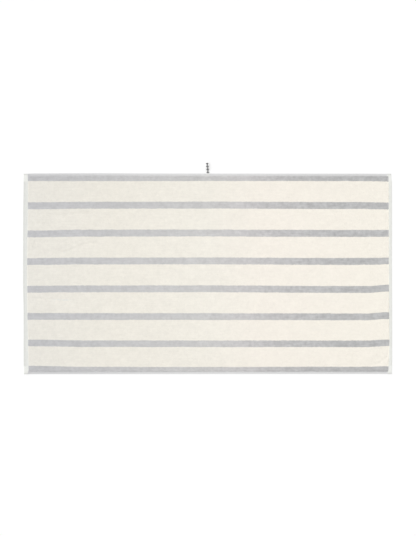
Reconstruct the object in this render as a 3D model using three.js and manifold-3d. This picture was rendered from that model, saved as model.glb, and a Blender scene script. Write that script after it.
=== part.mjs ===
// Striped terry bath towel, laid out flat with its face up.
// Millimetres. X runs along the towel, Y across it, +Z up from the surface it lies on.
// The origin is the middle of the cloth, on its underside.

import * as THREE from "three";
import { mergeVertices } from "three/addons/utils/BufferGeometryUtils.js";
import Module from "manifold-3d";

const wasm = await Module();
wasm.setup();

// Cloth: a nominal 70 by 130 cm towel
const CLOTH_LENGTH = 1292;
const CLOTH_WIDTH = 703;
const PILE_THICKNESS = 4.5;
const HEM_WIDTH = 14.4;
const HEM_THICKNESS = 3;
const SELVEDGE_WIDTH = 8;
const SELVEDGE_THICKNESS = 1.5;
const EDGE_ROUND = 1.2;
const RIM_SHARE = 0.55;
const PILE_SLOPE = 2.4;
const GRID_STEP = 20;
const REST_PAD_MARGIN = 60;
const RIDGE_SHARE = 0.6;
const RIDGE_OFFSET = 1.6;

// Tape of the hanging loop, folded in half with both ends under the selvedge
const LOOP_CENTRE_X = -2;
const TAPE_WIDTH = 15;
const TAPE_THICKNESS = 0.8;
const TAPE_UNDER_CLOTH = 7.2;
const LOOP_REACH = 38.5;
const LOOP_HEIGHT = 8.6;
const TAPE_TOUCH = 3;
const RETURN_FULLNESS = 0.55;
const RETURN_LANDING = 0.3;
const BEND_STEPS = 12;
const RETURN_STEPS = 14;

// The selvedge over the tape: level to SEAT_LEVEL from the loop's middle, down again at SEAT_END
const SEAT_LEVEL = 9.5;
const SEAT_END = 20;
const RIM_OVER_TAPE = 1.1;

// Room between pieces, and between the two layers of tape
const GAP = 0.3;

// How far the edges stray outward from their straight lines, at stations along the edge
const LONG_EDGE_STRAY = [
  { at: -640, far: -1.2, near: 0.6 },
  { at: -608, far: 0.2, near: 0.3 },
  { at: -400, far: 0.9, near: 0.3 },
  { at: -120, far: 0, near: 0.2 },
  { at: 74, far: -0.2, near: -0.1 },
  { at: 536, far: -0.5, near: -0.5 },
  { at: 641, far: -1.0, near: -0.1 },
];
const SHORT_EDGE_STRAY = [
  { at: -340, left: -1.6, right: 0.1 },
  { at: -309, left: -0.9, right: 0.6 },
  { at: -141, left: -0.7, right: 0.4 },
  { at: -30, left: 1.2, right: -0.1 },
  { at: 200, left: 0.8, right: -0.1 },
  { at: 321, left: -0.5, right: -0.4 },
  { at: 345, left: -0.8, right: -2.2 },
];

// Soft creases pressed into the pile: a trough from one end to the other, with a low ridge beside it
const CREASES = [
  { fromX: -520, fromY: 70, toX: -385, toY: 111, depth: 0.9, halfWidth: 22 },
  { fromX: -530, fromY: 203, toX: -385, toY: 206, depth: 0.7, halfWidth: 20 },
  { fromX: -625, fromY: -92, toX: -475, toY: -86, depth: 0.8, halfWidth: 20 },
  { fromX: 590, fromY: -322, toX: 632, toY: -262, depth: 0.8, halfWidth: 18 },
  { fromX: 575, fromY: 338, toX: 630, toY: 318, depth: 0.6, halfWidth: 16 },
];

// Slow swells of the whole laid cloth
const SWELLS = [
  { height: 0.3, waveX: 410, waveY: 900, phase: 0.4 },
  { height: 0.2, waveX: 260, waveY: -330, phase: 2.1 },
  { height: 0.15, waveX: 150, waveY: 210, phase: 4.0 },
];

const terryMaterial = new THREE.MeshStandardMaterial({
  color: 0xf2eee3,
  roughness: 0.95,
  metalness: 0,
});
const tapeMaterial = new THREE.MeshStandardMaterial({
  color: 0xf7f6f2,
  roughness: 0.8,
  metalness: 0,
});

const halfLength = CLOTH_LENGTH / 2;
const halfWidth = CLOTH_WIDTH / 2;
const tapeStackHeight = 2 * TAPE_THICKNESS + GAP;
const seatHeight = tapeStackHeight + GAP;
const seatHalfWidth = TAPE_WIDTH / 2 + GAP;

// The value of one column of a table at a place between its rows.
function tableValue(rows, column, at) {
  const next = rows.findIndex((row) => row.at >= at);
  if (next === 0) return rows[0][column];
  if (next < 0) return rows[rows.length - 1][column];
  const before = rows[next - 1];
  const after = rows[next];
  const share = THREE.MathUtils.smoothstep(at, before.at, after.at);
  return THREE.MathUtils.lerp(before[column], after[column], share);
}

// Evenly spaced values strictly between two ends.
function spread(from, to) {
  const count = Math.ceil((to - from) / GRID_STEP);
  return Array.from({ length: count - 1 }, (_, i) => from + ((i + 1) * (to - from)) / count);
}

// Grid lines along the towel: rim and hem at each end, closer together over the loop's seat.
function columnStations() {
  const hem = [0, EDGE_ROUND, HEM_WIDTH, HEM_WIDTH + PILE_SLOPE];
  const seat = [-SEAT_END, -SEAT_LEVEL, 0, SEAT_LEVEL, SEAT_END].map((offset) => LOOP_CENTRE_X + offset);
  const left = hem.map((inset) => inset - halfLength);
  const right = hem.map((inset) => halfLength - inset).reverse();
  const leftField = spread(left[left.length - 1], seat[0]);
  const rightField = spread(seat[seat.length - 1], right[0]);
  return [...left, ...leftField, ...seat, ...rightField, ...right];
}

// Grid lines across the towel: rim and selvedge at each side.
function rowStations() {
  const selvedge = [0, EDGE_ROUND, SELVEDGE_WIDTH, SELVEDGE_WIDTH + PILE_SLOPE];
  const near = selvedge.map((inset) => inset - halfWidth);
  const far = selvedge.map((inset) => halfWidth - inset).reverse();
  return [...near, ...spread(near[near.length - 1], far[0]), ...far];
}

// A crease's push on the surface, by distance from its line and fading at its two ends.
function creaseHeight(crease, x, y) {
  const start = new THREE.Vector2(crease.fromX, crease.fromY);
  const run = new THREE.Vector2(crease.toX, crease.toY).sub(start);
  const length = run.length();
  const reach = new THREE.Vector2(x, y).sub(start);
  const along = reach.dot(run) / length;
  const across = reach.cross(run) / length / crease.halfWidth;
  const past = Math.max(0, -along, along - length) / crease.halfWidth;
  const fade = Math.exp(-past * past);
  const trough = Math.exp(-across * across);
  const ridge = RIDGE_SHARE * Math.exp(-((across - RIDGE_OFFSET) ** 2));
  return crease.depth * fade * (ridge - trough);
}

function unevenness(x, y) {
  let height = 0;
  for (const { height: swell, waveX, waveY, phase } of SWELLS) {
    height += swell * Math.sin(2 * Math.PI * (x / waveX + y / waveY) + phase);
  }
  for (const crease of CREASES) {
    height += creaseHeight(crease, x, y);
  }
  return height;
}

// Height of the cloth's face over a place on the straight, unstrayed outline.
function faceHeight(x, y) {
  const endInset = halfLength - Math.abs(x);
  const sideInset = halfWidth - Math.abs(y);
  let layer = PILE_THICKNESS + unevenness(x, y);
  if (sideInset <= SELVEDGE_WIDTH) layer = SELVEDGE_THICKNESS;
  if (endInset <= HEM_WIDTH) layer = HEM_THICKNESS;
  if (Math.min(endInset, sideInset) < EDGE_ROUND) layer *= RIM_SHARE;

  // The far selvedge rides up over the two layers of tape.
  const offset = Math.abs(x - LOOP_CENTRE_X);
  const overTape = 1 - THREE.MathUtils.smoothstep(offset, SEAT_LEVEL, SEAT_END);
  const overSeat = sideInset < EDGE_ROUND ? RIM_OVER_TAPE : SELVEDGE_THICKNESS;
  const lifted = Math.max(layer, seatHeight + overSeat);
  if (y > 0 && sideInset <= SELVEDGE_WIDTH) layer = THREE.MathUtils.lerp(layer, lifted, overTape);
  return layer;
}

// Shifts a place on the straight outline to where the laid cloth's threads really run.
function strayed(x, y) {
  const alongShare = x / CLOTH_LENGTH + 0.5;
  const acrossShare = y / CLOTH_WIDTH + 0.5;
  const left = -tableValue(SHORT_EDGE_STRAY, "left", y);
  const right = tableValue(SHORT_EDGE_STRAY, "right", y);
  const near = -tableValue(LONG_EDGE_STRAY, "near", x);
  const far = tableValue(LONG_EDGE_STRAY, "far", x);
  return new THREE.Vector2(
    x + THREE.MathUtils.lerp(left, right, alongShare),
    y + THREE.MathUtils.lerp(near, far, acrossShare),
  );
}

// The grid's outer vertices, counter-clockwise seen from above, as indices into the grid.
function perimeterIndices(columns, rows) {
  const last = rows - 1;
  const end = columns - 1;
  const ring = [];
  for (let i = 0; i < end; i++) ring.push(i);
  for (let j = 0; j < last; j++) ring.push(j * columns + end);
  for (let i = end; i > 0; i--) ring.push(last * columns + i);
  for (let j = last; j > 0; j--) ring.push(j * columns);
  return ring;
}

// The whole cloth as one closed slab: gridded face, upright rim, flat underside.
function clothGeometry() {
  const xs = columnStations();
  const ys = rowStations();
  const positions = [];
  const faces = [];

  for (const y of ys) {
    for (const x of xs) {
      const place = strayed(x, y);
      positions.push(place.x, place.y, faceHeight(x, y));
    }
  }
  for (let j = 0; j < ys.length - 1; j++) {
    for (let i = 0; i < xs.length - 1; i++) {
      const a = j * xs.length + i;
      const b = a + 1;
      const c = b + xs.length;
      const d = a + xs.length;
      faces.push(a, b, c, a, c, d);
    }
  }

  // Underside outline, straight below the rim, with a plain rectangle inside it.
  const ring = perimeterIndices(xs.length, ys.length);
  const outline = ring.map((k) => new THREE.Vector2(positions[3 * k], positions[3 * k + 1]));
  const padX = halfLength - REST_PAD_MARGIN;
  const padY = halfWidth - REST_PAD_MARGIN;
  const pad = [
    new THREE.Vector2(-padX, -padY),
    new THREE.Vector2(-padX, padY),
    new THREE.Vector2(padX, padY),
    new THREE.Vector2(padX, -padY),
  ];
  const firstBelow = positions.length / 3;
  for (const point of [...outline, ...pad]) positions.push(point.x, point.y, 0);

  ring.forEach((top, k) => {
    const next = (k + 1) % ring.length;
    const below = firstBelow + k;
    const belowNext = firstBelow + next;
    faces.push(top, below, belowNext, top, belowNext, ring[next]);
  });
  const [padA, padB, padC, padD] = pad.map((_, k) => firstBelow + ring.length + k);
  for (const [a, b, c] of THREE.ShapeUtils.triangulateShape(outline, [pad])) {
    faces.push(firstBelow + a, firstBelow + c, firstBelow + b);
  }
  faces.push(padA, padB, padC, padA, padC, padD);

  const geometry = new THREE.BufferGeometry();
  geometry.setAttribute("position", new THREE.Float32BufferAttribute(positions, 3));
  geometry.setIndex(faces);
  return geometry;
}

// A closed geometry, with its shared vertices merged, as a solid to cut.
function toSolid(geometry) {
  const bare = geometry.clone().deleteAttribute("normal").deleteAttribute("uv");
  const merged = mergeVertices(bare);
  return new wasm.Manifold(
    new wasm.Mesh({
      numProp: 3,
      vertProperties: merged.attributes.position.array,
      triVerts: new Uint32Array(merged.index.array),
    }),
  );
}

function toGeometry(solid) {
  const mesh = solid.getMesh();
  const geometry = new THREE.BufferGeometry();
  geometry.setAttribute("position", new THREE.BufferAttribute(mesh.vertProperties, 3));
  geometry.setIndex(new THREE.BufferAttribute(mesh.triVerts, 1));
  geometry.computeVertexNormals();
  return geometry;
}

// The space under the far selvedge that the ends of the tape fill.
function tapeSeat() {
  const overshoot = 10;
  const depth = TAPE_UNDER_CLOTH + GAP;
  const seat = new THREE.BoxGeometry(2 * seatHalfWidth, depth + overshoot, 2 * seatHeight);
  seat.translate(LOOP_CENTRE_X, halfWidth + (overshoot - depth) / 2, 0);
  return seat;
}

function makeCloth() {
  const cloth = toSolid(clothGeometry()).subtract(toSolid(tapeSeat()));
  const mesh = new THREE.Mesh(toGeometry(cloth), terryMaterial);
  mesh.name = "terry_cloth";
  return mesh;
}

// Middle line of the tape, seen along the towel: out along the surface, round the end, and back
// down onto its own lower layer. Each point is (across the towel, up).
function tapeMiddleLine() {
  const lowerZ = TAPE_THICKNESS / 2;
  const upperZ = lowerZ + TAPE_THICKNESS + GAP;
  const topZ = LOOP_HEIGHT - lowerZ;
  const radius = (topZ - lowerZ) / 2;
  const bendY = LOOP_REACH - lowerZ - radius;

  const line = new THREE.CurvePath();
  const lowerEnd = new THREE.Vector2(-TAPE_UNDER_CLOTH, lowerZ);
  const lowerBend = new THREE.Vector2(bendY, lowerZ);
  const upperBend = new THREE.Vector2(bendY, topZ);
  const upperTouch = new THREE.Vector2(TAPE_TOUCH, upperZ);
  const upperEnd = new THREE.Vector2(-TAPE_UNDER_CLOTH, upperZ);
  const lower = new THREE.LineCurve(lowerEnd, lowerBend);
  const bend = new THREE.EllipseCurve(bendY, lowerZ + radius, radius, radius, -Math.PI / 2, Math.PI / 2);
  const back = new THREE.CubicBezierCurve(
    upperBend,
    new THREE.Vector2(bendY * (1 - RETURN_FULLNESS), topZ),
    new THREE.Vector2(TAPE_TOUCH + bendY * RETURN_LANDING, upperZ),
    upperTouch,
  );
  line.add(lower);
  line.add(bend);
  line.add(back);
  line.add(new THREE.LineCurve(upperTouch, upperEnd));
  return line;
}

// Points along the middle line with the direction square to the tape at each.
function tapeStations() {
  const steps = [1, BEND_STEPS, RETURN_STEPS, 1];
  const stations = [];
  tapeMiddleLine().curves.forEach((curve, k) => {
    for (let i = k === 0 ? 0 : 1; i <= steps[k]; i++) {
      const share = i / steps[k];
      const tangent = curve.getTangent(share);
      stations.push({ point: curve.getPoint(share), square: new THREE.Vector2(-tangent.y, tangent.x) });
    }
  });
  return stations;
}

function makeLoop() {
  const stations = tapeStations();
  const side = (sign) =>
    stations.map(({ point, square }) => point.clone().addScaledVector(square, (sign * TAPE_THICKNESS) / 2));
  const outline = [...side(-1), ...side(1).reverse()];
  const geometry = new THREE.ExtrudeGeometry(new THREE.Shape(outline), {
    depth: TAPE_WIDTH,
    bevelEnabled: false,
  });

  // The shape's own x and y become Y and Z, and its depth runs along X.
  const toTowel = new THREE.Matrix4().makeBasis(
    new THREE.Vector3(0, 1, 0),
    new THREE.Vector3(0, 0, 1),
    new THREE.Vector3(1, 0, 0),
  );
  geometry.applyMatrix4(toTowel);
  const mesh = new THREE.Mesh(geometry, tapeMaterial);
  mesh.name = "hanging_loop";
  mesh.position.set(LOOP_CENTRE_X - TAPE_WIDTH / 2, halfWidth, 0);
  return mesh;
}

const towel = new THREE.Group();
towel.add(makeCloth(), makeLoop());

export default towel;
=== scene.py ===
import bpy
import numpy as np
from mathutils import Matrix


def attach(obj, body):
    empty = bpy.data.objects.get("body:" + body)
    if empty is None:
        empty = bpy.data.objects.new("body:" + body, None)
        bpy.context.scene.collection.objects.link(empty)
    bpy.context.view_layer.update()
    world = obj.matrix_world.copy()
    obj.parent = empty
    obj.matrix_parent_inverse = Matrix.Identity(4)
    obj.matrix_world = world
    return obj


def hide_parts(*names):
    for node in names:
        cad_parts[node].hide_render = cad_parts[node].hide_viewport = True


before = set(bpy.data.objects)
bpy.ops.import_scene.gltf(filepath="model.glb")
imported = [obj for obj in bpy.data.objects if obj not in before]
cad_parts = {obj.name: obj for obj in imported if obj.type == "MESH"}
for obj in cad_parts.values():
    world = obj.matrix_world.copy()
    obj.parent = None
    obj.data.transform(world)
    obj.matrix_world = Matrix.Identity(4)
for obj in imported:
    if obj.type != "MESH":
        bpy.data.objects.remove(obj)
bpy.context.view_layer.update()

# A striped terry bath towel, laid flat with its face up: the woven ground with its folded hems,
# the pile of both faces, the sewing, and the tape loop. Sizes are in millimetres, and MM turns
# them into metres. X runs along the towel, Y across it and Z up.

MM = 0.001
BODY = "root"


def table(columns, *rows):
    """Rows of values under the names of their columns."""
    return [dict(zip(columns.split(), row)) for row in rows]


# The cloth, as in the solids
CLOTH_LENGTH = 1292.0
CLOTH_WIDTH = 703.0
HALF_LENGTH = CLOTH_LENGTH / 2
HALF_WIDTH = CLOTH_WIDTH / 2
SELVEDGE_WIDTH = 8.0
PILE_TOP = 4.5

# The woven ground between the two faces of pile: the height of its middle in the field and at a
# selvedge, the width over which that changes, and its thinner rim
GROUND_MIDDLE = 2.15
SELVEDGE_MIDDLE = 0.72
LEVEL_SLOPE = 4.0
GROUND_THICKNESS = 0.75
RIM_WIDTH = 0.9
RIM_SHARE = 0.45

# A hem, folded twice. Its lowest layer is centred at HEM_LOW, and the raw edge is turned in.
HEM_WIDTH = 14.4
HEM_LOW = 0.5
HEM_FOLD_RADIUS = 1.0
TURNED_IN = 10.0

# Pile: the spacing of its loops, their rise above and below the mean, and how they lean
PILE_COLUMNS = 672
FRONT_PITCH = 1.9
BACK_PITCH = 3.8
LOOP_RISE = 0.42
LOOP_SPREAD = 0.22
LEAN = 0.3
PILE_LUMPS = table("height size seed", (0.22, 8, 31), (0.12, 15, 33))
# Its roots: their depth in the ground, how far in from a slab's sides they lie, and how near a
# selvedge they drop to its level
ROOT_DEPTH = 0.3
ROOT_INSET = 0.4
BACK_ROOT_INSET = 5.0
SELVEDGE_ROOTS = 2.5
# Its mean and lowest level on the underside, and its gap to a hem there
BACK_LEVEL = 0.62
BACK_LOWEST = 0.02
BACK_PILE_GAP = 0.2
# How the pile thins out beside hems and selvedges
PILE_END_START = 0.6
PILE_END_SLOPE = 1.7
PILE_END_RISE = 0.1
PILE_END_WANDER = 1.1

# The tape of the loop, as in the solids
LOOP_CENTRE_X = -2.0
TAPE_WIDTH = 15.0
TAPE_THICKNESS = 0.8
TAPE_GAP = 0.3
TAPE_UNDER_CLOTH = 7.2
LOOP_REACH = 38.5
LOOP_HEIGHT = 8.6
TAPE_TOUCH = 3.0
RETURN_FULLNESS = 0.55
RETURN_LANDING = 0.3
SEAT_LEVEL = 9.5
SEAT_END = 20.0
# How far in the cloth rides over the tape, and its underside there
SEAT_DEPTH = 9.0
SEAT_HEIGHT = 2 * TAPE_THICKNESS + TAPE_GAP + 0.15

# Plain bars woven into the tape: their middles outward from the cloth's edge, their sizes, and
# how far the first and the last lie to the right of the tape's middle
MARK_COUNT = 7
MARK_START = 34.6
MARK_PITCH = 5.2
MARK_WIDTH = 3.9
MARK_LENGTHS = (8.4, 5.6)
MARK_SHIFTS = (0.8, 2.8)
MARK_THICKNESS = 0.16
MARK_PROUD = 0.03

# Sewing: the hems' lockstitch, and the bar tack over the tape
THREAD_RADIUS = 0.24
THREAD_SIDES = 6
THREAD_END_SHARE = 0.55
STITCH_PITCH = 3.3
STITCH_LENGTH = 2.8
STITCH_MARGIN = 3
HEM_STITCH_INSETS = {"left": 11.6, "right": 8.6}
FRONT_STITCH_TOP = 2.78
BACK_STITCH_TOP = 0.16
TACK_INSETS = (5.9, 2.6)
TACK_PITCH = 0.62
TACK_REACH = 0.95
TACK_RADIUS = 0.2
TACK_PROUD = 0.12

# How far the edges stray outward from their straight lines, at stations along the edge
LONG_EDGE_STRAY = table(
    "at far near",
    (-640, -1.2, 0.6),
    (-608, 0.2, 0.3),
    (-400, 0.9, 0.3),
    (-120, 0.0, 0.2),
    (74, -0.2, -0.1),
    (536, -0.5, -0.5),
    (641, -1.0, -0.1),
)
SHORT_EDGE_STRAY = table(
    "at left right",
    (-340, -1.6, 0.1),
    (-309, -0.9, 0.6),
    (-141, -0.7, 0.4),
    (-30, 1.2, -0.1),
    (200, 0.8, -0.1),
    (321, -0.5, -0.4),
    (345, -0.8, -2.2),
)

# Where the pile ends beside each hem, at stations across the towel
PILE_ENDS = table(
    "at left right",
    (-335, -627.8, 634.0),
    (-245, -630.0, 637.1),
    (-150, -631.8, 636.4),
    (45, -633.0, 635.3),
    (240, -630.7, 634.9),
    (335, -630.4, 634.4),
)

# The grey stripes from the near edge to the far one: middle line and width, and how far the
# line drifts across the towel at the left end, at the right and at the right end
STRIPES = table(
    "centre width left_end right right_end",
    (-335.1, 16.7, 4.0, 0.8, 2.8),
    (-245.4, 23.0, 3.0, -0.1, 3.2),
    (-150.0, 23.5, 0.8, -0.8, 3.1),
    (-52.8, 23.7, -1.4, -2.1, 2.1),
    (45.0, 23.9, -2.4, -1.7, -0.3),
    (142.8, 24.0, -3.3, -1.4, -1.4),
    (240.4, 24.2, -2.4, -1.3, -3.2),
    (334.2, 18.7, 0.0, 0.0, -1.6),
)
# Where along the towel those drifts hold, and how much of the left end's is left at the second
DRIFT_STATIONS = (-626, -430, 0, 428, 560, 626)
DRIFT_LEFT_SHARE = 0.15
# Slow and quick wander of a stripe's two lines, and how far apart in the noise they lie
LINE_WANDER = table("reach size seed by_stripe by_side", (0.5, 24, 21, 40.0, 13), (0.3, 7, 22, 7.0, 1))

# Broad soft creases, as in the solids, each with a low ridge beside its trough
RIDGE_SHARE = 0.6
RIDGE_OFFSET = 1.6
CREASES = table(
    "from to depth half_width",
    ((-520, 70), (-385, 111), 0.9, 22),
    ((-530, 203), (-385, 206), 0.7, 20),
    ((-625, -92), (-475, -86), 0.8, 20),
    ((590, -322), (632, -262), 0.8, 18),
    ((575, 338), (630, 318), 0.6, 16),
)
# Finer creases pressed into the pile. The ridge lies on the right, seen from a crease's start,
# so those that run to the left have it on their far side.
FINE_CREASES = table(
    "from to depth half_width",
    ((-451, 95), (-502, 75), 0.8, 5.0),
    ((-398, 110), (-447, 100), 0.7, 4.5),
    ((-398, 213), (-473, 212), 0.6, 4.0),
    ((-478, 205), (-552, 207), 0.6, 5.0),
    ((-482, -92), (-612, -88), 0.6, 5.0),
    ((-443, 24), (-629, 21), 0.4, 4.0),
    ((602, -313), (562, -323), 0.5, 4.5),
    ((628, -293), (602, -313), 0.6, 5.0),
    ((636, -272), (628, -293), 0.5, 5.0),
    ((610, -10), (576, 3), 0.5, 6.0),
    ((515, -221), (484, -200), 0.5, 7.0),
    ((81, -216), (55, -207), 0.4, 6.0),
)
# Slow swells, as in the solids, and the lumps of the face
SWELLS = table(
    "height wave_x wave_y phase",
    (0.3, 410, 900, 0.4),
    (0.2, 260, -330, 2.1),
    (0.15, 150, 210, 4.0),
)
FACE_LUMPS = table("height size seed", (0.18, 26, 11))

# Colours, red, green and blue from 0 to 255; some of them hold painted shade and painted light, as
# said where they stand. Those of the pile drift along the towel, at shares of its length from the left
# end.
CREAM_TONES = table(
    "at tone",
    (0.0, (238, 235, 227)),
    (0.25, (243, 239, 229)),
    (0.5, (247, 243, 233)),
    (0.65, (251, 245, 235)),
    (1.0, (251, 246, 235)),
)
GREY_TONES = table(
    "at tone",
    (0.0, (200, 200, 202)),
    (0.5, (209, 208, 207)),
    (0.6, (208, 206, 206)),
    (0.72, (198, 197, 197)),
    (0.86, (193, 193, 193)),
    (1.0, (193, 193, 193)),
)
# Painted light on the pile at its middle line, falling to painted shade at its long sides, and painted
# light on loops facing away, as if it shone through them
MIDDLE_SHADE = 1.01
LIT_THROUGH = 1.3
LIT_WIDTH = 4.0
# The selvedges' tones, where they turn, and the painted shade on them at the pile's foot
SELVEDGE_TONES = {"left": (212, 212, 213), "middle": (222, 222, 222), "right": (217, 217, 217)}
SELVEDGE_TURN_LENGTH = 560
SELVEDGE_TURN_START = 0.1
FOOT_SHADE = 0.92
FOOT_WIDTH = 4.5
# The tone of each hem at its outer fold and at the pile, and where between them it turns. The
# darker outer fold is painted shade on the hem's own off-white, and the right hem's pale inner edge
# is a painted highlight.
HEMS = {
    "left": {"outer": (220, 221, 217), "inner": (229, 230, 226), "from": 2, "to": 10},
    "right": {"outer": (229, 230, 225), "inner": (241, 242, 235), "from": 6, "to": 12},
}
HEM_CORNER_TONE = (236, 237, 233)
CORNER_START = 322
CORNER_LENGTH = 4
# Painted shade along each hem's ends at the long edges, and how far in it reaches
CORNER_SHADE = 0.81
CORNER_SHADE_WIDTH = 4.5
# Width over which tones turn between hem, selvedge and field
TONE_TURN = 2
THREAD_TONE = (240, 239, 233)
TAPE_TONE = (250, 250, 249)
TAPE_MARK_TONE = (52, 52, 56)
WHITE = (1.0, 1.0, 1.0, 1.0)

# Size of the random lattice before it repeats
NOISE_LATTICE = (97, 89)


def ease(share):
    """A soft step from 0 to 1."""
    share = np.clip(share, 0.0, 1.0)
    return share * share * (3 - 2 * share)


def blend(low, high, share):
    return low + (high - low) * share


def table_value(rows, column, at):
    """A table's column at places between its rows, eased from row to row."""
    stations = np.array([row["at"] for row in rows], float)
    values = np.array([row[column] for row in rows], float)
    at = np.clip(at, stations[0], stations[-1])
    after = np.clip(np.searchsorted(stations, at), 1, len(rows) - 1)
    share = (at - stations[after - 1]) / (stations[after] - stations[after - 1])
    return blend(values[after - 1], values[after], ease(share))


def soft_noise(x, y, size, seed):
    """Smooth random values from -1 to 1 whose lumps are about size across."""
    width, height = NOISE_LATTICE
    lattice = np.random.default_rng(seed).uniform(-1, 1, (width, height))
    u, v = np.broadcast_arrays(x / size, y / size)
    i, j = np.floor(u).astype(int), np.floor(v).astype(int)
    s, t = ease(u - i), ease(v - j)
    next_i, next_j = (i + 1) % width, (j + 1) % height
    i, j = i % width, j % height
    low = blend(lattice[i, j], lattice[next_i, j], s)
    high = blend(lattice[i, next_j], lattice[next_i, next_j], s)
    return blend(low, high, t)


def lumps(rows, x, y, seed=0):
    """The random lumps of a table, added up."""
    return sum(row["height"] * soft_noise(x, y, row["size"], row["seed"] + seed) for row in rows)


def linear(tone):
    """A colour from 0 to 255 as the shader's linear values."""
    share = np.array(tone, float) / 255
    return np.where(share <= 0.04045, share / 12.92, ((share + 0.055) / 1.055) ** 2.4)


# Shape of the laid cloth

def crease_height(crease, x, y):
    """A crease's trough and ridge, which fade beyond its two ends."""
    start, end = np.array(crease["from"], float), np.array(crease["to"], float)
    length = np.linalg.norm(end - start)
    run_x, run_y = (end - start) / length
    along = (x - start[0]) * run_x + (y - start[1]) * run_y
    across = ((x - start[0]) * run_y - (y - start[1]) * run_x) / crease["half_width"]
    past = np.maximum(np.maximum(-along, along - length), 0) / crease["half_width"]
    trough = np.exp(-across**2)
    ridge = RIDGE_SHARE * np.exp(-((across - RIDGE_OFFSET) ** 2))
    return crease["depth"] * np.exp(-past**2) * (ridge - trough)


def unevenness(x, y):
    """How far the face rises above or falls below its mean level."""
    height = lumps(FACE_LUMPS, x, y)
    for swell in SWELLS:
        turns = x / swell["wave_x"] + y / swell["wave_y"]
        height = height + swell["height"] * np.sin(2 * np.pi * turns + swell["phase"])
    for crease in CREASES + FINE_CREASES:
        height = height + crease_height(crease, x, y)
    return height


def far_edge(x):
    return HALF_WIDTH + table_value(LONG_EDGE_STRAY, "far", x)


def near_edge(x):
    return -HALF_WIDTH - table_value(LONG_EDGE_STRAY, "near", x)


def left_edge(y):
    return -HALF_LENGTH - table_value(SHORT_EDGE_STRAY, "left", y)


def right_edge(y):
    return HALF_LENGTH + table_value(SHORT_EDGE_STRAY, "right", y)


# Where the tape comes out from under the cloth
TAPE_ROOT_Y = float(far_edge(np.array(LOOP_CENTRE_X)))


def stripe_drift(stripe, x):
    """How far a stripe's middle line drifts across the towel."""
    left_end, right = stripe["left_end"], stripe["right"]
    drifts = (left_end, DRIFT_LEFT_SHARE * left_end, 0.0, right, right, stripe["right_end"])
    rows = table("at drift", *zip(DRIFT_STATIONS, drifts))
    return table_value(rows, "drift", x)


def line_wander(k, side, x):
    """How far one of stripe k's two lines wanders."""
    wander = 0.0
    for row in LINE_WANDER:
        lane = row["by_stripe"] * k + row["by_side"] * side
        wander = wander + row["reach"] * soft_noise(x, lane, row["size"], row["seed"])
    return wander


def band_lines(x):
    """The lines between neighbouring bands of pile, from the near selvedge to the far one."""
    lines = [near_edge(x) + SELVEDGE_WIDTH]
    last = len(STRIPES) - 1
    for k, stripe in enumerate(STRIPES):
        middle = stripe["centre"] + stripe_drift(stripe, x)
        for side in (-1, 1):
            if (k, side) in ((0, -1), (last, 1)):
                continue
            lines.append(middle + side * stripe["width"] / 2 + line_wander(k, side, x))
    lines.append(far_edge(x) - SELVEDGE_WIDTH)
    return lines


# Mesh making

def add_object(name, data):
    thing = bpy.data.objects.new(name, data)
    bpy.context.scene.collection.objects.link(thing)
    return thing


def new_object(name, points, faces, material, slot):
    """A smooth piece of the towel from points in millimetres."""
    mesh = bpy.data.meshes.new(name)
    mesh.from_pydata((np.asarray(points, float) * MM).tolist(), [], faces)
    mesh.polygons.foreach_set("use_smooth", np.ones(len(faces), bool))
    mesh.materials.append(material)
    piece = add_object(name, mesh)
    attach(piece, BODY)
    return piece


def paint(piece, name, values):
    """Stores one number, or one colour, for each point of a piece."""
    values = np.asarray(values, np.float32)
    if values.ndim == 1:
        layer = piece.data.attributes.new(name, "FLOAT", "POINT")
        layer.data.foreach_set("value", values)
        return
    layer = piece.data.attributes.new(name, "FLOAT_COLOR", "POINT")
    opaque = np.column_stack([values, np.ones(len(values), np.float32)])
    layer.data.foreach_set("color", opaque.ravel())


def set_bake_map(piece, places):
    """The flat layout of a piece, one place for each corner of its faces in turn."""
    layer = piece.data.uv_layers.new(name="OFBake")
    layer.uv.foreach_set("vector", np.asarray(places, np.float32).ravel())


def grid_normals(points):
    """A normal for each point of a grid, from the faces about it."""
    face = np.cross(points[1:, 1:] - points[:-1, :-1], points[:-1, 1:] - points[1:, :-1])
    normal = np.zeros_like(points)
    for i in (slice(1, None), slice(None, -1)):
        for j in (slice(1, None), slice(None, -1)):
            normal[i, j] += face
    return normal / np.linalg.norm(normal, axis=-1, keepdims=True)


# The pile

# Room for the numbers of one band's rows
ROW_NUMBERS = 1000


def pile_rows(first, last, pitch):
    """Rows of loops over the bands between two lines, and the rows just before and after them,
    each as (band, share of its width, row number). Bands hold an even number of rows, so loops
    alternate with gaps right across the towel."""
    widths = np.diff([float(line) for line in band_lines(np.array(0.0))])
    counts = [2 * max(1, round(width / pitch / 2)) for width in widths]
    rows = [
        (band, j / counts[band], ROW_NUMBERS * band + j)
        for band in range(first, last)
        for j in range(counts[band])
    ]
    rows.append((last - 1, 1.0, ROW_NUMBERS * last))
    before, after = [], []
    if first > 0:
        count = counts[first - 1]
        before = [(first - 1, 1 - 1 / count, ROW_NUMBERS * (first - 1) + count - 1)]
    if last < len(counts):
        after = [(last, 1 / counts[last], ROW_NUMBERS * last + 1)]
    return before, rows, after


def pile_end(side, y, facing):
    """Where the pile stops beside a hem. On the back that is at the hem's own inner edge."""
    if facing > 0:
        return table_value(PILE_ENDS, side, y)
    inset = HEM_WIDTH + BACK_PILE_GAP
    return left_edge(y) + inset if side == "left" else right_edge(y) - inset


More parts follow.
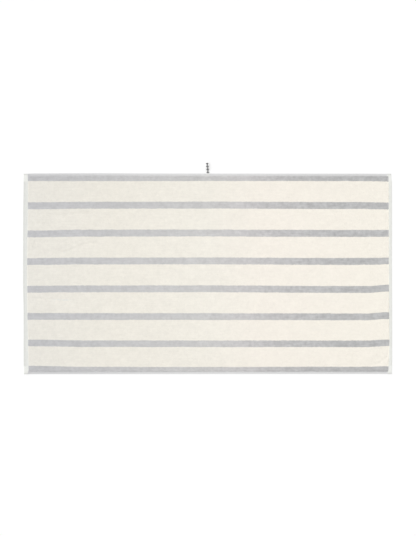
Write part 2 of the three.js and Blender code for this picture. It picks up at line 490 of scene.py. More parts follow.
def pile_grid(rows, columns, pitch, facing):
    """Places of the loops along and across the towel, their lift above the mean level of the
    pile, and which ones are crests."""
    share = np.arange(columns + 1) / columns
    flat_x = blend(PILE_ENDS[0]["left"], PILE_ENDS[0]["right"], share)
    lines = band_lines(flat_x)
    column_pitch = (flat_x[-1] - flat_x[0]) / columns
    x, y, lift, crests = (np.zeros((columns + 1, len(rows))) for _ in range(4))
    for j, (line, across, number) in enumerate(rows):
        random = np.random.default_rng([number, 5 + facing])
        crests[:, j] = (np.arange(columns + 1) + number) % 2 == 0
        y[:, j] = blend(lines[line], lines[line + 1], across)
        y[:, j] += LEAN * pitch * random.uniform(-1, 1, columns + 1)
        x[:, j] = blend(pile_end("left", y[:, j], facing), pile_end("right", y[:, j], facing), share)
        x[1:-1, j] += LEAN * column_pitch * random.uniform(-1, 1, columns - 1)
        spread = LOOP_SPREAD * random.normal(size=columns + 1).clip(-2, 2)
        lift[:, j] = np.where(crests[:, j], LOOP_RISE, -LOOP_RISE) + spread
        if facing > 0:
            x[[0, -1], j] += PILE_END_WANDER * random.uniform(0, 1, 2) * (1, -1)
    return x, y, lift, crests


def pile_loops(rows, columns, pitch, facing):
    """The places of the loops, the height of their roots, which ones are crests, and how much painted
    light each one's colour takes: 0 for painted shade in a gap, 1 on a crest, and up to 1 more of painted
    light where it is made to shine through."""
    x, y, lift, crests = pile_grid(rows, columns, pitch, facing)

    # The pile thins out beside the hems and the selvedges.
    end_room = np.minimum(x - x[:1], x[-1:] - x)
    near_room = y - near_edge(x) - SELVEDGE_WIDTH
    side_room = np.minimum(near_room, far_edge(x) - y - SELVEDGE_WIDTH)
    full = ease((np.minimum(end_room, side_room) + PILE_END_START) / PILE_END_SLOPE)
    # Painted light: loops where the pile thins out take the crests' lighter colour.
    loop_lights = np.maximum(crests, 1 - full)
    # Loops at the near side and the right end face away from the key light; painted light lifts their
    # colour as if light shone through them.
    loop_lights = loop_lights + 1 - ease(np.minimum(near_room, x[-1:] - x) / LIT_WIDTH)
    root = np.where(side_room < SELVEDGE_ROOTS, SELVEDGE_MIDDLE, GROUND_MIDDLE)
    bumps = lumps(PILE_LUMPS, x, y, facing)
    if facing > 0:
        root = root + ROOT_DEPTH
        z = blend(root + PILE_END_RISE, PILE_TOP + unevenness(x, y) + bumps + lift, full)
    else:
        root = root - ROOT_DEPTH
        z = np.maximum(blend(root - PILE_END_RISE, BACK_LEVEL - bumps - lift, full), BACK_LOWEST)
    return np.stack([x, y, z], -1), root, crests, loop_lights


def pile_slab(name, first, last, pitch, columns, facing, materials):
    """A closed slab of looped pile over the bands between two lines, rooted in the ground. The
    rows beyond its two sides only lend it their slope, so that neighbouring slabs look like one."""
    before, rows, after = pile_rows(first, last, pitch)
    grids = pile_loops(before + rows + after, columns, pitch, facing)
    grids += (facing * grid_normals(grids[0]),)
    own = slice(len(before), len(before) + len(rows))
    loops, root, crests, loop_lights, normals = (grid[:, own] for grid in grids)
    count = len(rows)

    # Each column is a ring: the loops, then two points at the roots. Those of the back lie
    # farther in, where the ground is clear of the surface.
    ring = count + 2
    points = np.zeros((columns + 1, ring, 3))
    points[:, :count] = loops
    inset = ROOT_INSET
    if facing < 0:
        inset = BACK_ROOT_INSET
        root = np.full_like(root, GROUND_MIDDLE - ROOT_DEPTH)
    for place, row, shift in ((count, -1, -inset), (count + 1, 0, inset)):
        points[:, place] = np.stack([loops[:, row, 0], loops[:, row, 1] + shift, root[:, row]], -1)
    directions = np.zeros_like(points)
    directions[:, :count] = normals
    directions[:, count:] = (0, 0, -facing)
    at_roots = ((0, 0), (0, 2))
    crests, loop_lights = np.pad(crests, at_roots), np.pad(loop_lights, at_roots)

    # A face starts at the gap beside a loop, so that its diagonal joins two gaps.
    i, r = np.meshgrid(np.arange(columns), np.arange(ring), indexing="ij")
    after_r = (r + 1) % ring
    corners = [i * ring + r, (i + 1) * ring + r, (i + 1) * ring + after_r, i * ring + after_r]
    corners = np.stack(corners, -1).reshape(-1, 4)
    places = pile_bake_places(points, columns, ring, count).reshape(-1, 4, 2)
    turn = (crests[i, r] > 0).ravel()
    corners[turn], places[turn] = np.roll(corners[turn], -1, 1), np.roll(places[turn], -1, 1)
    caps = [np.arange(ring), columns * ring + np.arange(ring)[::-1]]
    if facing < 0:
        corners, places = corners[:, ::-1], places[:, ::-1]
        caps = [cap[::-1] for cap in caps]
    faces = corners.tolist() + [cap.tolist() for cap in caps]

    piece = new_object(name, points.reshape(-1, 3), faces, *materials[0])
    for material, _ in materials[1:]:
        piece.data.materials.append(material)
    if len(materials) > 1:
        band_of_row = np.array([rows[min(k, count - 2)][0] for k in range(ring)])
        worn = np.append((band_of_row[r] % 2).ravel(), [0, 0])
        piece.data.polygons.foreach_set("material_index", worn.astype(np.int32))
    # Each loop's painted light and shade, which the pile's colour takes.
    paint(piece, "loop_light", loop_lights.ravel())
    set_bake_map(piece, np.vstack([places.reshape(-1, 2), np.full((2 * ring, 2), 0.5)]))
    piece.data.normals_split_custom_set_from_vertices(directions.reshape(-1, 3))
    return piece


def pile_bake_places(points, columns, ring, count):
    """Cuts the long slab into lengths stacked one over another, so that its loops stay large. The
    hidden faces at its roots get four narrow shares of each length's height."""
    hidden, margin = 0.02, 0.003
    length = np.ptp(points[:, 0, 0])
    width = points[columns // 2, count - 1, 1] - points[columns // 2, 0, 1]
    fitting = [n for n in (1, 2, 3, 4, 6, 7, 8) if columns % n == 0]
    lengths = min(fitting, key=lambda n: abs(length / n - n * width))
    per_length = columns // lengths
    place = blend(0.0, 1 - 4 * hidden, np.arange(count) / (count - 1))
    place = np.concatenate([place, [1 - 3 * hidden, 1 - hidden, 1.0]])
    i, r = np.meshgrid(np.arange(columns), np.arange(ring), indexing="ij")
    strip = i // per_length
    low_u, high_u = (i % per_length) / per_length, (i % per_length + 1) / per_length
    low_v, high_v = place[r], place[r + 1]
    corners = [(low_u, low_v), (high_u, low_v), (high_u, high_v), (low_u, high_v)]
    u = np.stack([blend(margin, 1 - margin, corner[0]) for corner in corners], -1)
    v = np.stack([(strip + blend(margin, 1 - margin, corner[1])) / lengths for corner in corners], -1)
    return np.stack([u, v], -1)


# Sheets and threads

# Flat layout of a closed sheet: the share that each of its faces takes, where the lower face
# starts, and the strips for its near, far, left and right border
SHEET_SHARE_U = 0.97
SHEET_SHARE_V = 0.48
LOWER_FACE = 0.5
BORDER_STRIPS = table(
    "axis level width",
    (1, 0.985, 0.012),
    (1, 0.484, 0.012),
    (0, 0.975, 0.01),
    (0, 0.988, 0.01),
)


def running_shares(count, weights):
    """Places from 0 to 1 of a row of points whose steps have the given weights."""
    steps = np.ones(count - 1) if weights is None else np.asarray(weights, float)
    return np.append(0.0, np.cumsum(steps)) / steps.sum()


def thick_sheet(name, middle, thickness, material, slot, weight_across=None, weight_along=None):
    """A closed sheet about a grid of middle points, with its own flat layout for baking."""
    rows, columns = middle.shape[:2]
    normal = -grid_normals(middle)
    half = np.broadcast_to(thickness, (rows, columns))[..., None] / 2
    points = np.vstack([(middle + normal * half).reshape(-1, 3), (middle - normal * half).reshape(-1, 3)])
    t, s = np.meshgrid(np.arange(rows - 1), np.arange(columns - 1), indexing="ij")
    a = (t * columns + s).ravel()
    upper = np.stack([a, a + 1, a + 1 + columns, a + columns], -1)
    below = rows * columns
    lower = upper[:, ::-1] + below
    s = np.arange(columns - 1)
    t = np.arange(rows - 1) * columns
    last_row, last_column = (rows - 1) * columns, columns - 1
    near = np.stack([s + below, s + 1 + below, s + 1, s], -1)
    far = np.stack([s + last_row, s + 1 + last_row, s + 1 + last_row + below, s + last_row + below], -1)
    left = np.stack([t, t + columns, t + columns + below, t + below], -1)
    right = np.stack([t + below, t + columns + below, t + columns, t], -1) + last_column
    faces = np.vstack([upper, lower, near, far, left, right])
    piece = new_object(name, points, faces.tolist(), material, slot)

    u = np.tile(SHEET_SHARE_U * running_shares(columns, weight_along), rows)
    v = np.repeat(SHEET_SHARE_V * running_shares(rows, weight_across), columns)
    flat_u = np.concatenate([u, u])
    flat_v = np.concatenate([v, v + LOWER_FACE])
    places = np.stack([flat_u[faces], flat_v[faces]], -1)
    start = 2 * len(upper)
    for border, strip in zip((near, far, left, right), BORDER_STRIPS):
        block = places[start : start + len(border)]
        block[..., 1] -= np.where(border < below, 0.0, LOWER_FACE)
        block[..., strip["axis"]] = strip["level"] + np.where(border < below, 0.0, strip["width"])
        start += len(border)
    set_bake_map(piece, places.reshape(-1, 2))
    return piece


def threads(name, paths, radius, material, slot):
    """Short lengths of thread, each a thin tube along its own points."""
    sides = THREAD_SIDES
    angles = 2 * np.pi * np.arange(sides) / sides
    points, faces, base = [], [], 0
    for path in paths:
        path = np.asarray(path, float)
        run = np.gradient(path, axis=0)
        run /= np.linalg.norm(run, axis=1, keepdims=True)
        side = np.cross(run, [0.0, 0.0, 1.0])
        side /= np.linalg.norm(side, axis=1, keepdims=True)
        up = np.cross(side, run)
        swell = np.full(len(path), radius)
        swell[[0, -1]] *= THREAD_END_SHARE
        circle = np.cos(angles)[:, None] * side[:, None] + np.sin(angles)[:, None] * up[:, None]
        points.append((path[:, None] + swell[:, None, None] * circle).reshape(-1, 3))
        for k in range(len(path) - 1):
            for q in range(sides):
                a, b = base + k * sides + q, base + k * sides + (q + 1) % sides
                faces.append([a, b, b + sides, a + sides])
        faces.append([base + q for q in range(sides)][::-1])
        faces.append([base + (len(path) - 1) * sides + q for q in range(sides)])
        base += len(path) * sides
    return new_object(name, np.vstack(points), faces, material, slot)


# Materials

class Nodes:
    """Short ways to add and join the nodes of a material or world."""

    def __init__(self, owner, shader="Principled BSDF"):
        owner.use_nodes = True
        self.owner = owner
        self.tree = owner.node_tree
        self.shader = self.tree.nodes[shader]

    def feed(self, node, inputs):
        """Gives a node's inputs their values or links."""
        for key, value in inputs.items():
            if isinstance(value, bpy.types.NodeSocket):
                self.tree.links.new(value, node.inputs[key])
            else:
                node.inputs[key].default_value = value
        return node

    def add(self, kind, inputs=(), **settings):
        node = self.tree.nodes.new(kind)
        for key, value in settings.items():
            setattr(node, key, value)
        return self.feed(node, dict(inputs))

    def set_shader(self, **values):
        """Feeds the shader. A low line stands for a space in a socket's name."""
        self.feed(self.shader, {key.replace("_", " "): value for key, value in values.items()})

    def math(self, operation, first, second=0.0):
        return self.add("ShaderNodeMath", {0: first, 1: second}, operation=operation).outputs[0]

    def vector(self, operation, first, second):
        inputs = {0: first, 1: second}
        return self.add("ShaderNodeVectorMath", inputs, operation=operation).outputs[0]

    def place(self):
        return self.add("ShaderNodeTexCoord").outputs["Object"]

    def noise(self, where, size, detail=2.0):
        """Noise whose lumps are about size millimetres across, near 0.5 on average."""
        inputs = {"Vector": where, "Scale": 1 / (size * MM), "Detail": detail}
        return self.add("ShaderNodeTexNoise", inputs).outputs

    def remap(self, value, from_low, from_high, low, high):
        inputs = {"Value": value, "From Min": from_low, "From Max": from_high}
        inputs.update({"To Min": low, "To Max": high})
        return self.add("ShaderNodeMapRange", inputs).outputs["Result"]

    def clouds(self, where, size, detail, low, high):
        """Noise as values that lie mostly between low and high."""
        return self.remap(self.noise(where, size, detail)["Fac"], *NOISE_RANGE, low, high)

    def tone(self, tone):
        colour = self.add("ShaderNodeRGB").outputs[0]
        colour.default_value = (*linear(tone), 1.0)
        return colour

    def scale_colour(self, colour, factor):
        inputs = {0: colour, "Scale": factor}
        return self.add("ShaderNodeVectorMath", inputs, operation="SCALE").outputs[0]

    def finish(self, colour, height, distance):
        """Joins colour and relief, so many millimetres high, to the shader."""
        bump = self.add("ShaderNodeBump", {"Height": height, "Distance": distance * MM})
        self.set_shader(Base_Color=colour, Normal=bump.outputs["Normal"])
        return self.owner


# Between what values most of a noise node's output lies
NOISE_RANGE = (0.3, 0.7)

# Mottling of the pile: broad clouds, blotches, and streaks squeezed to run with the stripes; and
# where along the towel the left end's amount turns into the right's
MOTTLE = table(
    "size detail share squeeze",
    (36, 3, 0.45, 1.0),
    (11, 2, 0.8, 1.0),
    (5, 2, 0.5, 0.12),
)
MOTTLE_TURN = (0.45, 0.75)
# Painted shade between the loops and painted light on their crests, and the shades of the yarn's own
# unevenness
TIP_SHADES = (0.93, 1.03)
YARN_SHADES = (0.97, 1.03)
YARN_SIZE = 1.1
# One loop of yarn in the relief: its size, its ring's place and sharpness, its bends, its height
LOOP_SIZE = 1.8
RING_PLACE = 0.3
RING_SHARPNESS = 9.0
BEND_SIZE = 1.6
BEND_REACH = 1.4
LOOP_RELIEF = 0.1


def cloth_shader(nodes, roughness, sheen):
    nodes.set_shader(Roughness=roughness, Specular_IOR_Level=0.15)
    nodes.set_shader(Sheen_Weight=sheen, Sheen_Roughness=0.6)


def tone_ramp(nodes, share, tones):
    """Tones that drift along the towel."""
    ramp = nodes.add("ShaderNodeValToRGB", {"Fac": share})
    stops = ramp.color_ramp.elements
    for k, row in enumerate(tones):
        stop = stops[k] if k < 2 else stops.new(row["at"])
        stop.position = row["at"]
        stop.color = (*linear(row["tone"]), 1.0)
    return ramp.outputs["Color"]


def terry_material(name, tones, side_shade, mottle, seed):
    """Looped cotton pile: a slow change of tone along the towel and painted shade towards its long
    sides, mottling that is given for the left and the right end, painted shade between the loops and
    painted light on their crests and on loops facing away, and the rings of yarn as relief."""
    nodes = Nodes(bpy.data.materials.new(name))
    cloth_shader(nodes, 0.95, 0.06)
    where = nodes.place()
    offset = nodes.vector("ADD", where, (0.37 * seed, 0.11 * seed, 0.0))
    split = nodes.add("ShaderNodeSeparateXYZ", {0: where})
    share = nodes.remap(split.outputs["X"], -HALF_LENGTH * MM, HALF_LENGTH * MM, 0.0, 1.0)
    side = nodes.math("MULTIPLY", split.outputs["Y"], 1 / (HALF_WIDTH * MM))
    side = nodes.math("MULTIPLY", side, side)

    clouds = 0.0
    for row in MOTTLE:
        place = nodes.vector("MULTIPLY", offset, (row["squeeze"], 1.0, 1.0))
        cloud = nodes.clouds(place, row["size"], row["detail"], -row["share"], row["share"])
        clouds = nodes.math("ADD", cloud, clouds)
    amount = nodes.remap(share, *MOTTLE_TURN, *mottle)
    factor = nodes.math("ADD", nodes.math("MULTIPLY", clouds, amount), 1.0)

    yarn = nodes.noise(offset, YARN_SIZE)["Fac"]
    loop_light = nodes.add("ShaderNodeAttribute", attribute_name="loop_light").outputs["Fac"]
    # Painted shade towards the long sides, painted shade between the loops and painted light on their
    # crests, painted light on loops facing away, and the yarn's own unevenness
    for shade in (
        nodes.remap(side, 0.0, 1.0, MIDDLE_SHADE, side_shade),
        nodes.remap(loop_light, 0.0, 1.0, *TIP_SHADES),
        nodes.remap(loop_light, 1.0, 2.0, 1.0, LIT_THROUGH),
        nodes.remap(yarn, *NOISE_RANGE, *YARN_SHADES),
    ):
        factor = nodes.math("MULTIPLY", factor, shade)
    colour = nodes.scale_colour(tone_ramp(nodes, share, tones), factor)

    # Each loop is a small ring of yarn, bent by noise.
    bend = nodes.vector("SUBTRACT", nodes.noise(offset, BEND_SIZE, 1.0)["Color"], (0.5, 0.5, 0.5))
    bent = nodes.vector("ADD", offset, nodes.scale_colour(bend, BEND_REACH * MM))
    cells = nodes.add("ShaderNodeTexVoronoi", {"Vector": bent, "Scale": 1 / (LOOP_SIZE * MM)})
    past_ring = nodes.math("SUBTRACT", cells.outputs["Distance"], RING_PLACE)
    ring = nodes.math("COSINE", nodes.math("MULTIPLY", past_ring, RING_SHARPNESS))
    return nodes.finish(colour, nodes.math("ADD", ring, yarn), LOOP_RELIEF)


# Plain weave: how far its rows lean, over what distance, and the size of its fibres and clouds
WEAVE_LEAN = 1.5
WEAVE_LEAN_SIZE = 6
FIBRE_SIZE = 0.7
WEAVE_CLOUD_SIZE = 9


def weave_material(name, pitch, roughness, relief, tone=None):
    """Flat plain weave of fine yarn. Its colour is one tone, or the one painted on the piece."""
    nodes = Nodes(bpy.data.materials.new(name))
    cloth_shader(nodes, roughness, 0.1)
    where = nodes.place()
    turns = 2 * np.pi / (pitch * MM)
    split = nodes.add("ShaderNodeSeparateXYZ", {0: where})
    lean = nodes.math("MULTIPLY", nodes.noise(where, WEAVE_LEAN_SIZE, 1)["Fac"], WEAVE_LEAN)
    waves = [
        nodes.math("SINE", nodes.math("ADD", nodes.math("MULTIPLY", split.outputs[axis], turns), lean))
        for axis in ("X", "Y")
    ]
    weave = nodes.math("MULTIPLY", *waves)
    height = nodes.math("ADD", weave, nodes.noise(where, FIBRE_SIZE)["Fac"])
    if tone is None:
        colour = nodes.add("ShaderNodeAttribute", attribute_name="tone").outputs["Color"]
    else:
        colour = nodes.tone(tone)
    cloud = nodes.clouds(where, WEAVE_CLOUD_SIZE, 2, 0.98, 1.02)
    shade = nodes.math("MULTIPLY", cloud, nodes.remap(weave, -1.0, 1.0, 0.97, 1.02))
    return nodes.finish(nodes.scale_colour(colour, shade), height, relief)


def thread_material():
    """Twisted sewing thread."""
    nodes = Nodes(bpy.data.materials.new("sewing_thread"))
    cloth_shader(nodes, 0.7, 0.15)
    inputs = {"Vector": nodes.place(), "Scale": 260.0, "Distortion": 0.6}
    twist = nodes.add("ShaderNodeTexWave", inputs, wave_type="BANDS",
                      bands_direction="DIAGONAL").outputs["Fac"]
    shade = nodes.remap(twist, 0.0, 1.0, 0.9, 1.0)
    return nodes.finish(nodes.scale_colour(nodes.tone(THREAD_TONE), shade), twist, 0.08)


# The third number is the painted shade at the pile's long sides.
cream_terry = terry_material("cream_terry", CREAM_TONES, 0.99, (0.03, 0.02), 1)
grey_terry = terry_material("grey_terry", GREY_TONES, 0.965, (0.065, 0.115), 2)
ground_weave = weave_material("ground_weave", 1.1, 0.9, 0.12)
tape_weave = weave_material("tape_weave", 0.8, 0.75, 0.08, TAPE_TONE)
mark_weave = weave_material("mark_weave", 0.6, 0.8, 0.06, TAPE_MARK_TONE)
sewing_thread = thread_material()
TERRY = [(grey_terry, "grey_terry"), (cream_terry, "cream_terry")]


# The woven ground: one cloth, folded twice into a hem at each end

# Spacing of its columns in the field and near the loop, and their margin at seat and hem
FIELD_STEP = 10
LOOP_STEP = 3
COLUMN_MARGIN = 4
# Its rows by distance from a long edge, and the rows between
SIDE_ROWS = [0, 0.3, 0.9, 1.8, 3, 4.4, 5.8, 7.2, 8.4, 9.6, 11, 13, 16]
FIELD_INSET = 21
FIELD_ROWS = 138
# Ripple along the selvedges, and how a hem's upper layer puckers and dips at its seam
RIPPLE = table("height size seed", (0.12, 11, 41))
RIPPLE_WIDTH = 12
UPPER_LAYER = 2.2
PUCKER = table("height size seed", (0.16, 13, 43))
PUCKER_SQUEEZE = 3
SEAM_DIP = 0.3
SEAM_BREADTH = 2.2
# How much of it shows at ends and sides, and its weight in the flat layout
HEM_SHOWN = 18
HEM_IMPORTANCE = 5.0
SIDE_SHOWN = 12
SIDE_IMPORTANCE = 6.0


def arc(centre, radius, start, end, steps):
    angles = np.radians(np.linspace(start, end, steps))
    return [(centre[0] + radius * np.cos(a), centre[1] + radius * np.sin(a)) for a in angles]


def hem_section():
    """Middle line of one hem from its turned-in raw edge to the field, as (inset, height)."""
    low, high = HEM_LOW, HEM_LOW + 2 * HEM_FOLD_RADIUS
    middle_layer = low + HEM_FOLD_RADIUS
    inner_radius = HEM_FOLD_RADIUS / 2
    inner = HEM_WIDTH - inner_radius - GROUND_THICKNESS / 2
    outer = HEM_FOLD_RADIUS + GROUND_THICKNESS / 2
    line = [(inset, middle_layer) for inset in np.linspace(HEM_WIDTH - TURNED_IN, inner, 6)[:-1]]
    line += arc((inner, low + inner_radius), inner_radius, 90, -90, 7)
    line += [(inset, low) for inset in np.linspace(inner, outer, 9)[1:-1]]
    line += arc((outer, low + HEM_FOLD_RADIUS), HEM_FOLD_RADIUS, 270, 90, 11)
    line += [(inset, high) for inset in np.linspace(outer, HEM_WIDTH - 1, 12)[1:]]
    line += [(HEM_WIDTH + 1, high - 0.1), (HEM_WIDTH + 3.5, GROUND_MIDDLE)]
    return np.array(line)


def ground_columns():
    """Columns of the ground from one raw edge through hem, field and hem to the other: their
    places along the straight towel, and their heights."""
    hem = hem_section()
    first = hem[-1, 0]
    field_start, field_end = first - HALF_LENGTH, HALF_LENGTH - first
    loop_low = LOOP_CENTRE_X - SEAT_END - COLUMN_MARGIN
    loop_high = LOOP_CENTRE_X + SEAT_END + COLUMN_MARGIN
    field = np.concatenate([
        np.arange(field_start + FIELD_STEP, loop_low, FIELD_STEP),
        np.arange(loop_low, loop_high, LOOP_STEP),
        np.arange(loop_high, field_end - COLUMN_MARGIN, FIELD_STEP),
    ])
    straight_x = np.concatenate([hem[:, 0] - HALF_LENGTH, field, (HALF_LENGTH - hem[:, 0])[::-1]])
    height = np.concatenate([hem[:, 1], np.full(len(field), GROUND_MIDDLE), hem[::-1, 1]])
    return straight_x, height


def ground_rows():
    side = np.array(SIDE_ROWS)
    field = np.linspace(-HALF_WIDTH + FIELD_INSET, HALF_WIDTH - FIELD_INSET, FIELD_ROWS)
    return np.concatenate([side - HALF_WIDTH, field, (HALF_WIDTH - side)[::-1]])


def ground_height(x, y, layer_height, end_inset, side_inset):
    """Height of the ground's middle layer."""
    z = np.broadcast_to(layer_height, x.shape).copy()

    # Beyond the pile the single layer drops to the surface, and it rides over the loop's tape.
    in_field = ease((end_inset - HEM_WIDTH) / LEVEL_SLOPE)
    at_selvedge = 1 - ease((side_inset - SELVEDGE_WIDTH) / LEVEL_SLOPE)
    z -= in_field * ((GROUND_MIDDLE - SELVEDGE_MIDDLE) * at_selvedge)
    z += lumps(RIPPLE, x, y) * in_field * (side_inset < RIPPLE_WIDTH)
    over_tape = 1 - ease((np.abs(x - LOOP_CENTRE_X) - SEAT_LEVEL) / (SEAT_END - SEAT_LEVEL))
    near_tape = over_tape * (y > 0) * (1 - ease((side_inset - SEAT_DEPTH) / LEVEL_SLOPE))
    z = blend(z, np.maximum(z, SEAT_HEIGHT + GROUND_THICKNESS / 2), near_tape)

    # The hem's upper layer puckers along its seam.
    is_upper = (layer_height > UPPER_LAYER) & (end_inset < HEM_WIDTH + 0.5) & (end_inset > 1.5)
    seam_inset = np.where(x < 0, HEM_STITCH_INSETS["left"], HEM_STITCH_INSETS["right"])
    seam = np.exp(-(((end_inset - seam_inset) / SEAM_BREADTH) ** 2))
    pucker = lumps(PUCKER, x * PUCKER_SQUEEZE, y) - SEAM_DIP * seam
    return z + np.where(is_upper, pucker, 0)


def make_ground():
    straight_x, layer_height = ground_columns()
    straight_y = ground_rows()
    flat_x, flat_y = np.meshgrid(straight_x, straight_y)
    along, across = flat_x / CLOTH_LENGTH + 0.5, flat_y / CLOTH_WIDTH + 0.5
    x = flat_x + blend(left_edge(flat_y) + HALF_LENGTH, right_edge(flat_y) - HALF_LENGTH, along)
    y = flat_y + blend(near_edge(flat_x) + HALF_WIDTH, far_edge(flat_x) - HALF_WIDTH, across)
    side_inset = HALF_WIDTH - np.abs(flat_y)
    end_inset = HALF_LENGTH - np.abs(flat_x)
    z = ground_height(x, y, layer_height, end_inset, side_inset)
    thickness = GROUND_THICKNESS * blend(RIM_SHARE, 1.0, ease(side_inset / RIM_WIDTH))

    # Hems and selvedges, which show, take more of the flat layout than the field does.
    importance = np.where(np.abs(straight_x[:-1]) > HALF_LENGTH - HEM_SHOWN, HEM_IMPORTANCE, 1.0)
    weight_along = np.maximum(np.hypot(np.diff(straight_x), np.diff(layer_height)), 0.2) * importance
    near_side = HALF_WIDTH - np.abs(straight_y[:-1]) < SIDE_SHOWN
    weight_across = np.diff(straight_y) * np.where(near_side, SIDE_IMPORTANCE, 1.0)
    piece = thick_sheet("ground_cloth", np.stack([x, y, z], -1), thickness, ground_weave, "cream_terry",
                        weight_across, weight_along)
    paint(piece, "tone", np.vstack([ground_tones(x, y, end_inset, side_inset)] * 2))
    return piece


def ground_tones(x, y, end_inset, side_inset):
    """Colour of the ground where it shows: pale grey selvedges, off-white hems, paler corners, with
    painted shade at the pile's foot, on the hems' outer folds and at their ends, and a painted highlight
    on the right hem's inner edge.
    """
    left, middle, right = (linear(SELVEDGE_TONES[k]) for k in ("left", "middle", "right"))
    to_left = ease(-x / SELVEDGE_TURN_LENGTH - SELVEDGE_TURN_START)[..., None]
    to_right = ease(x / SELVEDGE_TURN_LENGTH - SELVEDGE_TURN_START)[..., None]
    selvedge = middle + (left - middle) * to_left + (right - middle) * to_right
    # Painted shade on the selvedge at the pile's foot
    foot = blend(FOOT_SHADE, 1.0, ease((SELVEDGE_WIDTH - side_inset) / FOOT_WIDTH))
    selvedge = selvedge * foot[..., None]
    corner = ease((np.abs(y) - CORNER_START) / CORNER_LENGTH)[..., None]
    # Each hem's tone: painted shade towards its outer fold, and on the right a painted highlight at the
    # pile
    hems = [
        blend(linear(hem["outer"]), linear(hem["inner"]),
              ease((end_inset - hem["from"]) / (hem["to"] - hem["from"]))[..., None])
        for hem in (HEMS["left"], HEMS["right"])
    ]
    hem = np.where((x < 0)[..., None], *hems)
    in_hem = (1 - ease((end_inset - HEM_WIDTH + 1) / TONE_TURN))[..., None]
    at_side = (1 - ease((side_inset - SELVEDGE_WIDTH - TONE_TURN) / TONE_TURN))[..., None]
    field = blend(hem, selvedge, at_side)
    hem = blend(hem, linear(HEM_CORNER_TONE), corner)
    # Painted shade along the hems' ends at the long edges
    end_shade = blend(1.0, CORNER_SHADE, np.exp(-((side_inset / CORNER_SHADE_WIDTH) ** 2)))
    return blend(field, hem * end_shade[..., None], in_hem).reshape(-1, 3)


# Sewing

def stitch(start, end, z, sink=0.35, steps=5):
    """One stitch: a short arch of thread whose two ends dip into the cloth."""
    share = np.linspace(0, 1, steps)
    path = blend(np.array(start)[None], np.array(end)[None], share[:, None])
    arch = z - sink * (2 * share - 1) ** 4
    return np.column_stack([path, arch])


def hem_seam(name, side):
    """Both faces of the lockstitch that holds one hem."""
    random = np.random.default_rng(51 + side)
    paths = []
    for y in np.arange(-HALF_WIDTH + STITCH_MARGIN, HALF_WIDTH - STITCH_MARGIN, STITCH_PITCH):
        if side < 0:
            line = left_edge(y) + HEM_STITCH_INSETS["left"]
        else:
            line = right_edge(y) - HEM_STITCH_INSETS["right"]
        x = line + random.uniform(-0.15, 0.15)
        slant = random.uniform(-0.12, 0.12)
        start, end = (x - slant, y), (x + slant, y + STITCH_LENGTH)
        paths.append(stitch(start, end, FRONT_STITCH_TOP + random.uniform(-0.05, 0.05)))
        paths.append(stitch(start, end, BACK_STITCH_TOP, sink=-0.3))
    return threads(name, paths, THREAD_RADIUS, sewing_thread, "loop_tape")


def bar_tack():
    """Dense cross stitches that hold the tape's ends to the selvedge."""
    random = np.random.default_rng(61)
    top = SEAT_HEIGHT + GROUND_THICKNESS + TACK_PROUD
    paths = []
    for inset in TACK_INSETS:
        row_y = TAPE_ROOT_Y - inset
        for x in np.arange(-TAPE_WIDTH / 2 + 0.8, TAPE_WIDTH / 2 - 0.6, TACK_PITCH):
            reach = TACK_REACH + random.uniform(-0.12, 0.12)
            start = (LOOP_CENTRE_X + x - 0.15, row_y - reach)
            end = (LOOP_CENTRE_X + x + 0.2, row_y + reach)
            paths.append(stitch(start, end, top, sink=0.3))
    return threads("bar_tack", paths, TACK_RADIUS, sewing_thread, "loop_tape")


# The hanging loop

# The free part of the tape: its start, how far on it is full, and its wander, flare and curl.
# Then the tape's own thickness at its middle and woven edges.
FREE_START = 4
FREE_LENGTH = 14
TAPE_WANDER = 0.25
TAPE_FLARE = 0.5
TAPE_CURL = 0.22
TAPE_EDGE_SHARES = (0.98, 0.55)


def tape_line():
    """Middle line of the tape as (across the towel from its edge, up), as in the solid."""
    lower_z = TAPE_THICKNESS / 2
    upper_z = lower_z + TAPE_THICKNESS + TAPE_GAP
    top_z = LOOP_HEIGHT - lower_z
    radius = (top_z - lower_z) / 2
    bend_y = LOOP_REACH - lower_z - radius
    out = [(y, lower_z) for y in np.linspace(-TAPE_UNDER_CLOTH, bend_y, 26)[:-1]]
    bend = arc((bend_y, lower_z + radius), radius, -90, 90, 19)
    knots = np.array([
        (bend_y, top_z),
        (bend_y * (1 - RETURN_FULLNESS), top_z),
        (TAPE_TOUCH + bend_y * RETURN_LANDING, upper_z),
        (TAPE_TOUCH, upper_z),
    ])
    share = np.linspace(0, 1, 30)[1:, None]
    back = ((1 - share) ** 3 * knots[0] + 3 * (1 - share) ** 2 * share * knots[1]
            + 3 * (1 - share) * share**2 * knots[2] + share**3 * knots[3])
    under = [(y, upper_z) for y in np.linspace(TAPE_TOUCH, -TAPE_UNDER_CLOTH, 9)[1:]]
    return np.vstack([out, bend, back, under])


def tape_surface(line, across):
    """Places on the tape's middle layer: a row across the tape for each point of its line."""
    out, up = line[:, :1], line[:, 1:]
    shift = across[None]
    x = LOOP_CENTRE_X + shift * TAPE_WIDTH / 2 + 0 * out
    y = TAPE_ROOT_Y + out + 0 * shift
    z = up + 0 * shift

    # The free part isn't quite square, and its long edges curl and wander a little.
    free = ease((out - FREE_START) / FREE_LENGTH)
    x = x + TAPE_WANDER * free * soft_noise(y, z, 9, 71)
    y = y + TAPE_FLARE * free * shift
    z = z + TAPE_CURL * free * np.abs(shift) ** 3 * np.where(up < LOOP_HEIGHT / 2, 1, -1)
    return np.stack([x, y, z], -1)


def make_tape():
    """The tape, thinner at its two woven edges."""
    across = np.linspace(-1, 1, 17)
    middle = tape_surface(tape_line(), across)
    thickness = TAPE_THICKNESS * blend(*TAPE_EDGE_SHARES, np.abs(across) ** 8)[:, None]
    return thick_sheet("tape_loop", middle.transpose(1, 0, 2), thickness, tape_weave, "loop_tape")


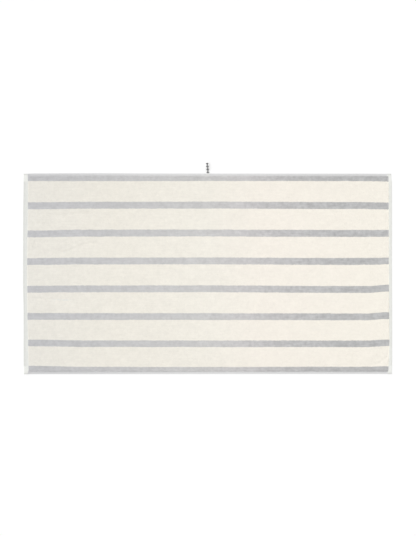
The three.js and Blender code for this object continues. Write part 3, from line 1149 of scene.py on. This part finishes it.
def make_marks():
    """Plain dark bars, long and short in turn, woven across the outside of the tape."""
    line = tape_line()
    outside = line[np.argmax(line[:, 0]):]
    run = np.append(0.0, np.cumsum(np.hypot(*np.diff(outside, axis=0).T)))
    pieces = []
    for k in range(MARK_COUNT):
        middle_out = MARK_START - k * MARK_PITCH
        ends = np.array([middle_out + MARK_WIDTH / 2, middle_out - MARK_WIDTH / 2])
        start, stop = np.interp(-ends, -outside[:, 0], run)
        places = np.linspace(start, stop, 7)
        bar_line = np.column_stack([np.interp(places, run, outside[:, axis]) for axis in (0, 1)])
        length = MARK_LENGTHS[k % 2]
        shift = blend(*MARK_SHIFTS, k / (MARK_COUNT - 1))
        across = (shift + np.linspace(-length / 2, length / 2, 9)) / (TAPE_WIDTH / 2)
        middle = tape_surface(bar_line, across)
        middle = middle + grid_normals(middle) * (TAPE_THICKNESS / 2 + MARK_PROUD)
        pieces.append(thick_sheet(f"tape_bar_{k + 1}", middle, MARK_THICKNESS, mark_weave, "loop_tape"))
    return pieces


# Putting the towel together

band_count = 2 * len(STRIPES) - 1
pile_pieces = []
for band in range(band_count):
    piece_name = f"{('grey', 'cream')[band % 2]}_pile_{band // 2 + 1}"
    material = [TERRY[band % 2]]
    pile_pieces.append(pile_slab(piece_name, band, band + 1, FRONT_PITCH, PILE_COLUMNS, 1, material))
pile_pieces.append(pile_slab("back_pile", 0, band_count, BACK_PITCH, PILE_COLUMNS // 2, -1, TERRY))

ground = make_ground()
seams = [hem_seam("hem_seam_left", -1), hem_seam("hem_seam_right", 1)]
tack = bar_tack()
tape = make_tape()
marks = make_marks()

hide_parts("terry_cloth")
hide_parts("hanging_loop")
for piece in pile_pieces:
    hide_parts("terry_cloth")


# Floor, light and camera

FLOOR_TONE = (190, 190, 190)
FLOOR_GLOW = 0.46
FLOOR_REACH = 60000.0
FLOOR_LEVEL = -0.4

# Light from the horizon and overhead: the height where each is full, and its strength
SKY_HEIGHTS = (0.1, 0.35)
SKY_STRENGTHS = (1.1, 0.66)
KEY_STRENGTH = 1.55
KEY_BREADTH = np.radians(50)
KEY_TURN = (np.radians(-22), np.radians(-30), 0)


def make_floor():
    """A wide pale floor that lights itself a little, so that shadows on it stay faint."""
    signs = ((-1, -1), (1, -1), (1, 1), (-1, 1))
    corners = [(FLOOR_REACH * x, FLOOR_REACH * y, FLOOR_LEVEL) for x, y in signs]
    mesh = bpy.data.meshes.new("floor")
    mesh.from_pydata((np.array(corners) * MM).tolist(), [], [(0, 1, 2, 3)])
    nodes = Nodes(bpy.data.materials.new("pale_floor"))
    nodes.set_shader(Roughness=1.0, Specular_IOR_Level=0.0, Base_Color=(*linear(FLOOR_TONE), 1.0))
    nodes.set_shader(Emission_Color=WHITE, Emission_Strength=FLOOR_GLOW)
    mesh.materials.append(nodes.owner)
    add_object("floor", mesh)


def make_light():
    """White studio light, brighter at the horizon, with a broad soft key from the far left."""
    world = bpy.data.worlds.new("studio")
    bpy.context.scene.world = world
    nodes = Nodes(world, "Background")
    direction = nodes.add("ShaderNodeTexCoord").outputs["Generated"]
    height = nodes.add("ShaderNodeSeparateXYZ", {0: direction}).outputs["Z"]
    nodes.set_shader(Color=WHITE, Strength=nodes.remap(height, *SKY_HEIGHTS, *SKY_STRENGTHS))
    lamp = bpy.data.lights.new("soft_key", "SUN")
    lamp.energy = KEY_STRENGTH
    lamp.angle = KEY_BREADTH
    add_object("soft_key", lamp).rotation_euler = KEY_TURN


# The photograph's frame is this many pixels high, and the towel this many long in it. The
# frame's middle lies this far from the towel's, in millimetres.
FRAME_HEIGHT_PIXELS = 536
TOWEL_LENGTH_PIXELS = 368.7
AIM = (1.3, 20.1)
CAMERA_DISTANCE = 4000.0
SENSOR = 36.0


def make_camera():
    """Straight above the towel and its loop."""
    frame_height = FRAME_HEIGHT_PIXELS * CLOTH_LENGTH / TOWEL_LENGTH_PIXELS
    lens = bpy.data.cameras.new("camera")
    lens.sensor_width = SENSOR
    lens.lens = SENSOR * CAMERA_DISTANCE / frame_height
    camera = add_object("camera", lens)
    camera.location = (AIM[0] * MM, AIM[1] * MM, (CAMERA_DISTANCE + PILE_TOP) * MM)
    bpy.context.scene.camera = camera


make_floor()
make_light()
make_camera()
bpy.context.scene.view_settings.view_transform = "Standard"
